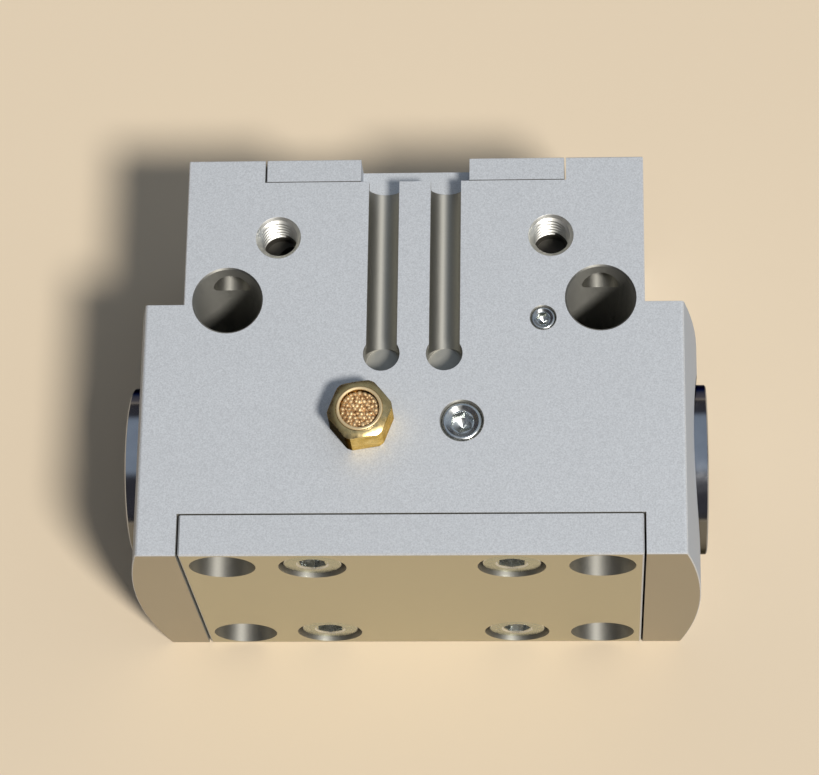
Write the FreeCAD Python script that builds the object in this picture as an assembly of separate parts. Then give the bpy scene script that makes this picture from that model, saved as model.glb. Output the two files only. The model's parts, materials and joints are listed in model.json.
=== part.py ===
import FreeCAD, Part
import math
import os

# A pneumatic parallel gripper with two round jaws. A piston pushes a wedge, and hooks on the
# wedge's sloping flanks slide the jaws apart or pull them together.
# The frame's origin is the middle of the base face, at mid-depth. +X is the way the right jaw
# opens, +Y points out of the base face and +Z out of the port face. A drop is a distance
# below the base face, so it lies at y = -drop. All sizes are in millimetres.

# Cylinder and piston
CYLINDER_DIAMETER = 25.0
PISTON_CLEARANCE = 0.08
END_GAP = 0.3
PISTON_LAND = 1.4
PISTON_SEAL_WIDTH = 1.8
PISTON_SEAL_SECTION = 1.9
PISTON_WEB = 0.7
PISTON_EDGE_CHAMFER = 0.6
MAGNET_THICKNESS = 1.7
MAGNET_SECTION = 3.4
MAGNET_RIM = 1.2
ROD_DIAMETER = 10.0
ROD_CLEARANCE = 0.06
ROD_SEAL_SECTION = 2.4
ROD_SEAL_HEIGHT = 1.7
RETAINER_THICKNESS = 0.8
PARTITION_LIP = 1.6
SEAL_CLEARANCE = 0.04
SEAL_BEVEL_SHARE = 0.25

# Jaws and wedge hook
JAW_STROKE = 6.0
JAW_DIAMETER = 20.9
JAW_CLEARANCE = 0.05
JAW_STAND_OUT = 0.9
JAW_RIM_CHAMFER = 0.15
WEDGE_RATIO = 0.75
WEDGE_THICKNESS = 12.0
WEDGE_WALL = 2.75
WEDGE_TOP_GAP = 0.3
WEDGE_END_GAP = 0.4
HOOK_NECK_LENGTH = 2.4
HOOK_NECK_WIDTH = 5.0
HOOK_HEAD_THICKNESS = 2.2
HOOK_HEAD_WIDTH = 9.0
HOOK_CLEARANCE = 0.1
FLANK_GAP = 0.15
ROD_REGISTER = 0.8
WEDGE_SCREW_GRIP = 6.4

# Fingers are bolted to the jaw ends, each thread with a recess for a centring sleeve
FINGER_PITCH = 11.0
FINGER_THREAD_DIAMETER = 3.3
FINGER_THREAD_DEPTH = 7.5
SLEEVE_RECESS_DIAMETER = 7.0
SLEEVE_RECESS_DEPTH = 1.6

# Wipers round the jaws
WIPER_WIDTH = 1.8
WIPER_SECTION = 1.2
WIPER_SETBACK = 1.3
WIPER_CLEARANCE = 0.04
WIPER_LIP = 0.4

# Housing
BORE_FLOOR_WALL = 1.0
SHOULDER_ABOVE_BORE = 4.6
MOUNT_PITCH = 45.0
CROSS_HOLE_DIAMETER = 8.2
CROSS_HOLE_WALL = 1.05
CROSS_HOLE_CHAMFER = 0.2
BASE_SIDE_WALL = 1.2
THROUGH_HOLE_DIAMETER = 4.5
HEAD_POCKET_DIAMETER = 7.9
HEAD_POCKET_SEAT = 2.4
HEAD_POCKET_EDGE_WALL = 0.4
HEAD_POCKET_END_WALL = 0.9
CHEEK_THICKNESS = 4.8
SIDE_BULGE = 2.0
SIDE_EDGE_RADIUS = 0.45
EDGE_CHAMFER = 0.12

# Sensor slots in the port face
SLOT_PITCH = 7.54
SLOT_MOUTH = 3.7
SLOT_CHANNEL_DIAMETER = 4.2
SLOT_DEPTH = 4.1
SLOT_FLOOR_WALL = 1.4
SLOT_POCKET_DIAMETER = 4.4
SLOT_POCKET_DROP = 25.6

# Air ports and passages
PORT_PITCH = 33.1
PORT_DROP = 10.35
PORT_THREAD_DIAMETER = 4.2
PORT_CHAMFER = 0.65
PORT_DEPTH = 6.0
PASSAGE_DIAMETER = 1.6
PASSAGE_ENTRY_ANGLE = 30.0
SET_SCREW_X = 15.6
SET_SCREW_DROP = 21.1
SET_SCREW_DIAMETER = 3.0
SET_SCREW_LENGTH = 3.0
SET_SCREW_SOCKET = 1.5
SET_SCREW_SETBACK = 0.12
CHAMBER_PORT_PITCH = 11.9
CHAMBER_PORT_DIAMETER = 5.0
CHAMBER_PORT_CHAMFER = 0.15
PLUG_LENGTH = 5.0
PLUG_SOCKET = 2.5
PLUG_SETBACK = 0.15
PLUG_CROWN = 0.45

# Breather filter
FILTER_HEX = 7.0
FILTER_HEIGHT = 4.5
FILTER_TURN = 9.5
FILTER_RIM_DIAMETER = 5.5
FILTER_CHAMFER_SLOPE = 0.5
FILTER_CUP_DIAMETER = 4.7
FILTER_CUP_DEPTH = 3.0
FILTER_ELEMENT_SETBACK = 0.2
FILTER_SHANK_LENGTH = 5.5
FILTER_AIR_HOLE = 2.2
FILTER_FIT = 0.03

# Base cover
COVER_THICKNESS = 3.0
COVER_HALF_LENGTH = 18.2
COVER_GAP = 0.2
COVER_CHAMFER = 0.1
SPIGOT_LENGTH = 2.4
SPIGOT_CLEARANCE = 0.08
COVER_SEAL_SECTION = 1.4
NOTCH_MARGIN = 0.77
COVER_SCREW_END_INSET = 3.7
COVER_SCREW_FACE_INSET = 3.5
COVER_SCREW_DIAMETER = 3.0
COVER_SCREW_HEAD_DIAMETER = 5.6
COVER_SCREW_SOCKET = 2.0
COVER_SCREW_GRIP = 3.6

# Closing plate
PLATE_THICKNESS = 5.2
PLATE_GAP = 0.25
PLATE_CHAMFER = 0.2
PLATE_SCREW_PITCH_X = 23.6
PLATE_SCREW_PITCH_Z = 26.8
PLATE_SCREW_DIAMETER = 4.0
PLATE_SCREW_HEAD_DIAMETER = 7.0
PLATE_SCREW_HEAD_HEIGHT = 2.8
PLATE_SCREW_POCKET_DIAMETER = 8.1
PLATE_SCREW_SETBACK = 0.35
PLATE_SCREW_SOCKET = 3.0
PLATE_SCREW_GRIP = 6.0
PLATE_SEAL_WIDTH = 1.4
PLATE_SEAL_HEIGHT = 1.0
PLATE_SEAL_MARGIN = 0.6
PLATE_SEAL_CORNER = 2.5

# Clearances and small sizes shared by the fasteners
THREAD_GAP = 0.05
CLEARANCE_HOLE_GAP = 0.15
HEAD_EDGE_RADIUS = 0.4
SOCKET_DEPTH_SHARE = 0.55
GROOVE_GAP = 0.05
OPENING_GAP = 0.5
CUT_OVERRUN = 1.0
TOUCH_TOLERANCE = 0.01

# Sizes that follow from the ones above
cylinder_r = CYLINDER_DIAMETER / 2
piston_r = cylinder_r - PISTON_CLEARANCE
rod_r = ROD_DIAMETER / 2
jaw_r = JAW_DIAMETER / 2
jaw_bore_r = jaw_r + JAW_CLEARANCE
piston_stroke = JAW_STROKE / WEDGE_RATIO
piston_thickness = PISTON_LAND + PISTON_SEAL_WIDTH + PISTON_WEB + MAGNET_THICKNESS
piston_top_drop = COVER_THICKNESS + SPIGOT_LENGTH + END_GAP
piston_bottom_drop = piston_top_drop + piston_thickness
cylinder_floor_drop = piston_bottom_drop + piston_stroke + END_GAP
rod_pocket_r = rod_r + ROD_CLEARANCE + ROD_SEAL_SECTION
rod_pocket_floor_drop = cylinder_floor_drop + RETAINER_THICKNESS + ROD_SEAL_HEIGHT
jaw_axis_drop = rod_pocket_floor_drop + PARTITION_LIP + jaw_bore_r
plate_inner_drop = jaw_axis_drop + jaw_bore_r + BORE_FLOOR_WALL
height = plate_inner_drop + PLATE_THICKNESS
half_depth = cylinder_r + SLOT_FLOOR_WALL + SLOT_DEPTH
shoulder_drop = jaw_axis_drop - jaw_bore_r - SHOULDER_ABOVE_BORE
cross_hole_r = CROSS_HOLE_DIAMETER / 2
cross_hole_drop = jaw_axis_drop - jaw_bore_r - CROSS_HOLE_WALL - cross_hole_r
mount_x = MOUNT_PITCH / 2
head_pocket_r = HEAD_POCKET_DIAMETER / 2
mount_z = half_depth - HEAD_POCKET_EDGE_WALL - head_pocket_r
base_half_width = mount_x + cross_hole_r + BASE_SIDE_WALL
plate_half_length = mount_x + head_pocket_r + HEAD_POCKET_END_WALL
face_half_width = plate_half_length + PLATE_GAP + CHEEK_THICKNESS
side_half_width = face_half_width + SIDE_BULGE
jaw_reach = side_half_width + JAW_STAND_OUT
slot_x = SLOT_PITCH / 2
notch_half_width = slot_x + SLOT_CHANNEL_DIAMETER / 2 + NOTCH_MARGIN
wiper_outer_x = side_half_width - WIPER_SETBACK
wiper_inner_x = wiper_outer_x - WIPER_WIDTH
wiper_pocket_r = jaw_bore_r + WIPER_SECTION
port_x = PORT_PITCH / 2
chamber_port_x = CHAMBER_PORT_PITCH / 2
chamber_port_r = CHAMBER_PORT_DIAMETER / 2
cover_screw_x = COVER_HALF_LENGTH - COVER_SCREW_END_INSET
cover_screw_z = half_depth - COVER_SCREW_FACE_INSET

# The wedge at rest, with its hooks seen along +Z
wedge_half = WEDGE_THICKNESS / 2
wedge_ceiling = math.sqrt(jaw_bore_r ** 2 - wedge_half ** 2)
wedge_top_y = -jaw_axis_drop + wedge_ceiling - WEDGE_TOP_GAP
wedge_bottom_y = -plate_inner_drop + WEDGE_END_GAP + piston_stroke
wedge_head_pocket_r = PLATE_SCREW_HEAD_DIAMETER / 2 + CLEARANCE_HOLE_GAP
wedge_bottom_half = wedge_head_pocket_r + WEDGE_WALL
hook_reach = (HOOK_NECK_LENGTH + HOOK_HEAD_THICKNESS) * math.hypot(1, WEDGE_RATIO)
wedge_top_half = wedge_bottom_half + WEDGE_RATIO * (wedge_top_y - wedge_bottom_y)
opening_half_x = wedge_top_half + hook_reach + OPENING_GAP
opening_half_z = wedge_half + OPENING_GAP

X_AXIS = FreeCAD.Vector(1, 0, 0)
Y_AXIS = FreeCAD.Vector(0, 1, 0)
Z_AXIS = FreeCAD.Vector(0, 0, 1)


def point(x, y, z=0.0):
    return FreeCAD.Vector(x, y, z)


def block(x_range, y_range, z_range):
    size = [high - low for low, high in (x_range, y_range, z_range)]
    return Part.makeBox(*size, point(x_range[0], y_range[0], z_range[0]))


def rod_between(radius, start, end):
    return Part.makeCylinder(radius, start.distanceToPoint(end), start, end - start)


def prism(outline, z_half):
    """A solid with a closed outline of (x, y) corners, as thick as twice z_half."""
    corners = [point(x, y, -z_half) for x, y in outline]
    face = Part.Face(Part.makePolygon(corners + corners[:1]))
    return face.extrude(Z_AXIS * 2 * z_half)


def square_to(axis):
    """The x or y direction, whichever lies across a main axis."""
    return Y_AXIS if abs(axis.x) > abs(axis.y) + abs(axis.z) else X_AXIS


def ring(profile, start, axis):
    """Turns a closed profile of (radius, distance) corners about an axis through start."""
    across = square_to(axis)
    corners = [start + across * radius + axis * along for radius, along in profile]
    face = Part.Face(Part.makePolygon(corners + corners[:1]))
    return face.revolve(start, axis, 360)


def hole(radius, mouth, inward, depth, chamfer=0.0):
    """The cutter of a hole from its mouth, with a countersink as deep as it is wide."""
    outside = mouth - inward * CUT_OVERRUN
    cutter = Part.makeCylinder(radius, depth + CUT_OVERRUN, outside, inward)
    if chamfer:
        wide = radius + chamfer
        cone = Part.makeCone(wide + CUT_OVERRUN, radius, chamfer + CUT_OVERRUN, outside, inward)
        cutter = cutter.fuse(cone)
    return cutter


def hexagon(across_flats, start, axis, length, turn=0.0):
    """A six-sided bar. With no turn, one of its flats faces the y or z direction across it."""
    corner_r = across_flats / math.sqrt(3)
    first = square_to(axis)
    second = axis.cross(first)
    corners = []
    for step in range(6):
        angle = math.radians(60 * step + turn)
        spoke = first * math.cos(angle) + second * math.sin(angle)
        corners.append(start + spoke * corner_r)
    face = Part.Face(Part.makePolygon(corners + corners[:1]))
    return face.extrude(axis * length)


def mirrored(shape):
    return shape.mirror(point(0, 0), X_AXIS)


def four_places(half_x, half_z):
    return [(sx * half_x, sz * half_z) for sx in (-1, 1) for sz in (-1, 1)]


def cap_screw(seat, inward, diameter, head_d, head_h, socket, grip):
    """A cylinder-head screw. The head stands on the seat, and the shank goes inward."""
    top = seat - inward * head_h
    head = Part.makeCylinder(head_d / 2, head_h, top, inward)
    rim = [edge for edge in head.Edges if edge.CenterOfMass.distanceToPoint(top) < TOUCH_TOLERANCE]
    head = head.makeFillet(HEAD_EDGE_RADIUS, rim)
    shank = Part.makeCylinder(diameter / 2 - THREAD_GAP, grip, seat, inward)
    recess = hexagon(socket, top, inward, head_h * SOCKET_DEPTH_SHARE)
    return head.fuse(shank).removeSplitter().cut(recess)


def socket_plug(top, inward, diameter, length, socket, crown):
    """A headless screw with a hexagon socket and a chamfer at each end."""
    radius = diameter / 2 - THREAD_GAP
    profile = [(0, 0), (radius - crown, 0), (radius, crown), (radius, length - crown)]
    profile += [(radius - crown, length), (0, length)]
    body = ring(profile, top, inward)
    return body.cut(hexagon(socket, top, inward, length * SOCKET_DEPTH_SHARE))


def outer_form():
    """The outside of the housing: a straight base part and a wider part with swollen sides."""
    front_left = point(-face_half_width, -height, half_depth)
    front_right = point(face_half_width, -height, half_depth)
    back_right = point(face_half_width, -height, -half_depth)
    back_left = point(-face_half_width, -height, -half_depth)
    middle_right = point(side_half_width, -height)
    middle_left = point(-side_half_width, -height)
    edges = [
        Part.LineSegment(front_left, front_right).toShape(),
        Part.Arc(front_right, middle_right, back_right).toShape(),
        Part.LineSegment(back_right, back_left).toShape(),
        Part.Arc(back_left, middle_left, front_left).toShape(),
    ]
    wide = Part.Face(Part.Wire(edges)).extrude(Y_AXIS * (height - shoulder_drop))
    upright = [edge for edge in wide.Edges if rises(edge)]
    wide = wide.makeFillet(SIDE_EDGE_RADIUS, upright)
    base_side = (-base_half_width, base_half_width)
    narrow = block(base_side, (-shoulder_drop - CUT_OVERRUN, 0), (-half_depth, half_depth))
    form = wide.fuse(narrow).removeSplitter()
    return form.makeChamfer(EDGE_CHAMFER, [edge for edge in form.Edges if is_rim(edge)])


def rises(edge):
    """True for an edge that runs along y."""
    return abs(edge.Vertexes[0].Y - edge.Vertexes[-1].Y) > TOUCH_TOLERANCE


def is_rim(edge):
    """Edges at the base, at the closing end and up the narrow sides."""
    middle = edge.CenterOfMass
    on_base = abs(middle.y) < TOUCH_TOLERANCE
    on_end = abs(middle.y + height) < TOUCH_TOLERANCE
    at_narrow_side = abs(abs(middle.x) - base_half_width) < TOUCH_TOLERANCE
    return on_base or on_end or (at_narrow_side and rises(edge))


def sensor_slots():
    """Round-bottomed slots for magnetic switches, open at the base end, each with a round pocket."""
    face = half_depth
    channel_r = SLOT_CHANNEL_DIAMETER / 2
    channel_z = face - SLOT_DEPTH + channel_r
    cutters = []
    for side in (-1, 1):
        centre = side * slot_x
        mouth = (centre - SLOT_MOUTH / 2, centre + SLOT_MOUTH / 2)
        inner_end = point(centre, -SLOT_POCKET_DROP, channel_z)
        slot = block(mouth, (-SLOT_POCKET_DROP, CUT_OVERRUN), (channel_z, face + CUT_OVERRUN))
        channel = rod_between(channel_r, inner_end, point(centre, CUT_OVERRUN, channel_z))
        pocket_mouth = point(centre, -SLOT_POCKET_DROP, face)
        pocket = hole(SLOT_POCKET_DIAMETER / 2, pocket_mouth, -Z_AXIS, SLOT_DEPTH)
        cutters += [slot, channel, pocket]
    return cutters


def air_passages():
    """Drillings from the ports to both ends of the cylinder. The set screw closes one of them."""
    radius = PASSAGE_DIAMETER / 2
    port_floor = half_depth - PORT_DEPTH
    inside_r = cylinder_r - PASSAGE_DIAMETER
    angle = math.radians(PASSAGE_ENTRY_ANGLE)
    entry = (inside_r * math.cos(angle), inside_r * math.sin(angle))
    base_port = point(-port_x, -PORT_DROP, port_floor + radius)
    base_end = point(-entry[0], -piston_top_drop - PISTON_EDGE_CHAMFER, entry[1])
    rod_port = point(port_x, -PORT_DROP, port_floor + radius)
    corner = point(SET_SCREW_X, -SET_SCREW_DROP, port_floor - radius)
    rod_end = point(entry[0], -cylinder_floor_drop + radius, entry[1])
    corner_shaft = rod_between(radius, corner + Z_AXIS * PORT_DEPTH / 2, corner)
    legs = [rod_between(radius, base_port, base_end), rod_between(radius, rod_port, corner)]
    return legs + [corner_shaft, rod_between(radius, corner, rod_end)]


def port_face_holes():
    face = half_depth
    cutters = []
    for side in (-1, 1):
        port = point(side * port_x, -PORT_DROP, face)
        cutters.append(hole(PORT_THREAD_DIAMETER / 2, port, -Z_AXIS, PORT_DEPTH, PORT_CHAMFER))
        chamber = point(side * chamber_port_x, -jaw_axis_drop, face)
        cutters.append(hole(chamber_port_r, chamber, -Z_AXIS, face, CHAMBER_PORT_CHAMFER))
        crossing = point(side * mount_x, -cross_hole_drop)
        for way in (-Z_AXIS, Z_AXIS):
            mouth = crossing - way * face
            cutters.append(hole(cross_hole_r, mouth, way, face, CROSS_HOLE_CHAMFER))
    screw = point(SET_SCREW_X, -SET_SCREW_DROP, face)
    depth = SET_SCREW_LENGTH + SET_SCREW_SETBACK
    cutters.append(hole(SET_SCREW_DIAMETER / 2, screw, -Z_AXIS, depth, SET_SCREW_SETBACK))
    return cutters


def fastener_holes():
    """Mounting holes through the whole height, and the threads for both covers."""
    cutters = []
    for x, z in four_places(mount_x, mount_z):
        base = point(x, 0, z)
        cutters.append(hole(THROUGH_HOLE_DIAMETER / 2, base, -Y_AXIS, height, CROSS_HOLE_CHAMFER))
        seat = point(x, -plate_inner_drop, z)
        cutters.append(hole(head_pocket_r, seat, Y_AXIS, HEAD_POCKET_SEAT))
    for x, z in four_places(PLATE_SCREW_PITCH_X / 2, PLATE_SCREW_PITCH_Z / 2):
        depth = PLATE_SCREW_GRIP + 2 * THREAD_GAP
        cutters.append(hole(PLATE_SCREW_DIAMETER / 2, point(x, -plate_inner_drop, z), Y_AXIS, depth))
    for x, z in four_places(cover_screw_x, cover_screw_z):
        depth = COVER_SCREW_GRIP + 2 * THREAD_GAP
        cutters.append(hole(COVER_SCREW_DIAMETER / 2, point(x, -COVER_THICKNESS, z), -Y_AXIS, depth))
    return cutters


def inner_spaces():
    """The cylinder, the rod's passage, the jaw bore and the opening that the plate closes."""
    axis_start = point(0, -COVER_THICKNESS)
    jaw_centre = point(0, -jaw_axis_drop)
    cylinder = hole(cylinder_r, axis_start, -Y_AXIS, cylinder_floor_drop - COVER_THICKNESS)
    rod_pocket = hole(rod_pocket_r, axis_start, -Y_AXIS, rod_pocket_floor_drop - COVER_THICKNESS)
    rod_hole = hole(rod_r + ROD_CLEARANCE, axis_start, -Y_AXIS, jaw_axis_drop - COVER_THICKNESS)
    past_side = X_AXIS * (side_half_width + CUT_OVERRUN)
    jaw_bore = rod_between(jaw_bore_r, jaw_centre - past_side, jaw_centre + past_side)
    below = (-plate_inner_drop - CUT_OVERRUN, -jaw_axis_drop)
    opening_x = (-opening_half_x, opening_half_x)
    opening = block(opening_x, below, (-opening_half_z, opening_half_z))
    wiper_seat = point(wiper_inner_x, -jaw_axis_drop)
    wiper_pocket = rod_between(wiper_pocket_r, wiper_seat, jaw_centre + past_side)
    return [cylinder, rod_pocket, rod_hole, jaw_bore, opening, wiper_pocket, mirrored(wiper_pocket)]


def cover_recesses():
    across = (-half_depth - CUT_OVERRUN, half_depth + CUT_OVERRUN)
    cover_end = COVER_HALF_LENGTH + COVER_GAP
    plate_end = plate_half_length + PLATE_GAP
    base = block((-cover_end, cover_end), (-COVER_THICKNESS, CUT_OVERRUN), across)
    end = block((-plate_end, plate_end), (-height - CUT_OVERRUN, -plate_inner_drop), across)
    return [base, end]


def make_housing():
    cutters = cover_recesses() + inner_spaces() + sensor_slots()
    cutters += port_face_holes() + fastener_holes() + air_passages()
    return outer_form().cut(cutters)


def make_base_cover():
    """The plate that closes the cylinder, with a spigot in the bore and a notch for cables."""
    ends = (-COVER_HALF_LENGTH, COVER_HALF_LENGTH)
    plate = block(ends, (-COVER_THICKNESS, 0), (-half_depth, half_depth))
    plate = plate.makeChamfer(COVER_CHAMFER, plate.Edges)
    seat = point(0, -COVER_THICKNESS)
    outer = cylinder_r - SPIGOT_CLEARANCE
    groove_r = cylinder_r - SEAL_CLEARANCE - COVER_SEAL_SECTION - GROOVE_GAP
    groove_top = (SPIGOT_LENGTH - COVER_SEAL_SECTION) / 2 - GROOVE_GAP
    groove_bottom = SPIGOT_LENGTH - groove_top
    profile = [(0, 0), (outer, 0), (outer, groove_top), (groove_r, groove_top)]
    profile += [(groove_r, groove_bottom), (outer, groove_bottom)]
    profile += [(outer, SPIGOT_LENGTH), (0, SPIGOT_LENGTH)]
    plate = plate.fuse(ring(profile, seat, -Y_AXIS))
    notch_x = (-notch_half_width, notch_half_width)
    notch_z = (half_depth - SLOT_DEPTH, half_depth + CUT_OVERRUN)
    cutters = [block(notch_x, (-COVER_THICKNESS, CUT_OVERRUN), notch_z)]
    head_r = COVER_SCREW_HEAD_DIAMETER / 2 + GROOVE_GAP
    hole_r = COVER_SCREW_DIAMETER / 2 + CLEARANCE_HOLE_GAP
    for x, z in four_places(cover_screw_x, cover_screw_z):
        mouth = point(x, 0, z)
        cutters.append(hole(hole_r, mouth, -Y_AXIS, COVER_THICKNESS, head_r - hole_r))
    return plate.cut(cutters)


def make_base_cover_screws():
    """Four countersunk screws, flush with the base face."""
    radius = COVER_SCREW_DIAMETER / 2 - THREAD_GAP
    head_r = COVER_SCREW_HEAD_DIAMETER / 2 - CLEARANCE_HOLE_GAP
    tip = COVER_THICKNESS + COVER_SCREW_GRIP
    profile = [(0, GROOVE_GAP), (head_r - GROOVE_GAP, GROOVE_GAP), (radius, head_r - radius)]
    profile += [(radius, tip), (0, tip)]
    screws = []
    for x, z in four_places(cover_screw_x, cover_screw_z):
        mouth = point(x, 0, z)
        screw = ring(profile, mouth, -Y_AXIS)
        screws.append(screw.cut(hexagon(COVER_SCREW_SOCKET, mouth, -Y_AXIS, head_r - radius)))
    return Part.makeCompound(screws)


def make_base_cover_seal():
    """The ring that seals the spigot in the cylinder."""
    section_r = COVER_SEAL_SECTION / 2
    centre = point(0, -COVER_THICKNESS - SPIGOT_LENGTH / 2)
    return Part.makeTorus(cylinder_r - SEAL_CLEARANCE - section_r, section_r, centre, Y_AXIS)


def seal_slab(margin):
    """A slab with round corners, larger all round than the seal's opening by the margin."""
    half_x = opening_half_x + PLATE_SEAL_MARGIN + margin
    half_z = opening_half_z + PLATE_SEAL_MARGIN + margin
    thickness = (-plate_inner_drop - PLATE_SEAL_HEIGHT, -plate_inner_drop)
    slab = block((-half_x, half_x), thickness, (-half_z, half_z))
    return slab.makeFillet(PLATE_SEAL_CORNER + margin, [edge for edge in slab.Edges if rises(edge)])


def plate_seal_loop(gap):
    """The seal round the opening, or with a gap, the groove that it lies in."""
    outer = PLATE_SEAL_WIDTH + gap
    return seal_slab(outer).cut(seal_slab(-gap))


def make_closing_plate():
    """The plate at the working end, with pockets for its own screws and the mounting screws."""
    ends = (-plate_half_length, plate_half_length)
    plate = block(ends, (-height, -plate_inner_drop), (-half_depth, half_depth))
    plate = plate.makeChamfer(PLATE_CHAMFER, plate.Edges)
    cutters = [plate_seal_loop(GROOVE_GAP)]
    pocket_depth = PLATE_SCREW_HEAD_HEIGHT + PLATE_SCREW_SETBACK
    hole_r = PLATE_SCREW_DIAMETER / 2 + CLEARANCE_HOLE_GAP
    for x, z in four_places(PLATE_SCREW_PITCH_X / 2, PLATE_SCREW_PITCH_Z / 2):
        mouth = point(x, -height, z)
        cutters.append(hole(PLATE_SCREW_POCKET_DIAMETER / 2, mouth, Y_AXIS, pocket_depth))
        cutters.append(hole(hole_r, mouth, Y_AXIS, PLATE_THICKNESS + CUT_OVERRUN))
    for x, z in four_places(mount_x, mount_z):
        mouth = point(x, -height, z)
        cutters.append(hole(head_pocket_r, mouth, Y_AXIS, PLATE_THICKNESS + CUT_OVERRUN))
    return plate.cut(cutters)


def make_closing_plate_screws():
    screws = []
    for x, z in four_places(PLATE_SCREW_PITCH_X / 2, PLATE_SCREW_PITCH_Z / 2):
        seat = point(x, -height + PLATE_SCREW_SETBACK + PLATE_SCREW_HEAD_HEIGHT, z)
        grip = PLATE_THICKNESS - PLATE_SCREW_SETBACK - PLATE_SCREW_HEAD_HEIGHT + PLATE_SCREW_GRIP
        screws.append(
            cap_screw(seat, Y_AXIS, PLATE_SCREW_DIAMETER, PLATE_SCREW_HEAD_DIAMETER,
                      PLATE_SCREW_HEAD_HEIGHT, PLATE_SCREW_SOCKET, grip)
        )
    return Part.makeCompound(screws)


def make_closing_plate_seal():
    return plate_seal_loop(0.0)


def make_piston():
    """The piston with its rod. A thread in the rod's end holds the wedge."""
    top = point(0, -piston_top_drop)
    groove_r = cylinder_r - SEAL_CLEARANCE - PISTON_SEAL_SECTION - GROOVE_GAP
    groove_top = PISTON_LAND
    groove_bottom = PISTON_LAND + PISTON_SEAL_WIDTH
    magnet_top = piston_thickness - MAGNET_THICKNESS
    magnet_outer = piston_r - MAGNET_RIM
    magnet_inner = magnet_outer - MAGNET_SECTION
    rod_length = -wedge_top_y + ROD_REGISTER - piston_top_drop
    edge = PISTON_EDGE_CHAMFER
    profile = [(0, 0), (piston_r - edge, 0), (piston_r, edge), (piston_r, groove_top)]
    profile += [(groove_r, groove_top), (groove_r, groove_bottom), (piston_r, groove_bottom)]
    profile += [(piston_r, piston_thickness), (magnet_outer + GROOVE_GAP, piston_thickness)]
    profile += [(magnet_outer + GROOVE_GAP, magnet_top), (magnet_inner - GROOVE_GAP, magnet_top)]
    profile += [(magnet_inner - GROOVE_GAP, piston_thickness), (rod_r, piston_thickness)]
    profile += [(rod_r, rod_length), (0, rod_length)]
    body = ring(profile, top, -Y_AXIS)
    rod_end = point(0, wedge_top_y - ROD_REGISTER)
    return body.cut(hole(PLATE_SCREW_DIAMETER / 2, rod_end, Y_AXIS, WEDGE_SCREW_GRIP + END_GAP))


def make_piston_seal():
    """A lip ring in the piston's groove."""
    outer = cylinder_r - SEAL_CLEARANCE
    inner = outer - PISTON_SEAL_SECTION
    width = PISTON_SEAL_WIDTH - 2 * GROOVE_GAP
    bevel = width * SEAL_BEVEL_SHARE
    profile = [(inner, 0), (outer - bevel, 0), (outer, bevel), (outer, width - bevel)]
    profile += [(outer - bevel, width), (inner, width)]
    return ring(profile, point(0, -piston_top_drop - PISTON_LAND - GROOVE_GAP), -Y_AXIS)


def make_piston_magnet():
    """The ring that the sensors in the slots feel, let into the piston's rod side."""
    outer = piston_r - MAGNET_RIM
    inner = outer - MAGNET_SECTION
    profile = [(inner, 0), (outer, 0), (outer, MAGNET_THICKNESS), (inner, MAGNET_THICKNESS)]
    return ring(profile, point(0, -piston_bottom_drop + MAGNET_THICKNESS), -Y_AXIS)


def make_rod_seal():
    """A lip ring round the rod, in the pocket below the cylinder floor."""
    inner = rod_r + SEAL_CLEARANCE
    outer = rod_pocket_r - GROOVE_GAP
    bevel = ROD_SEAL_HEIGHT * SEAL_BEVEL_SHARE
    profile = [(inner + bevel, 0), (outer, 0), (outer, ROD_SEAL_HEIGHT)]
    profile += [(inner + bevel, ROD_SEAL_HEIGHT), (inner, ROD_SEAL_HEIGHT - bevel), (inner, bevel)]
    return ring(profile, point(0, -rod_pocket_floor_drop + ROD_SEAL_HEIGHT), -Y_AXIS)


def make_rod_seal_retainer():
    """The washer that holds the rod seal in its pocket, level with the cylinder floor."""
    inner = rod_r + ROD_CLEARANCE
    outer = rod_pocket_r - GROOVE_GAP
    profile = [(inner, 0), (outer, 0), (outer, RETAINER_THICKNESS), (inner, RETAINER_THICKNESS)]
    return ring(profile, point(0, -cylinder_floor_drop), -Y_AXIS)


# Unit vectors of the right flank of the wedge: up the slope, and square to it towards the jaw
flank_up = FreeCAD.Vector(WEDGE_RATIO, 1, 0) / math.hypot(1, WEDGE_RATIO)
flank_out = FreeCAD.Vector(1, -WEDGE_RATIO, 0) / math.hypot(1, WEDGE_RATIO)


def flank_point(along, outward):
    """A point measured from the flank's lower corner, as (x, y)."""
    start = point(wedge_bottom_half, wedge_bottom_y)
    place = start + flank_up * along + flank_out * outward
    return (place.x, place.y)


def flank_bar(along, outward, z_half):
    """A bar that runs up the right flank, between two distances along it and out from it."""
    near = [flank_point(distance, outward[0]) for distance in along]
    away = [flank_point(distance, outward[1]) for distance in reversed(along)]
    return prism(near + away, z_half)


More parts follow.
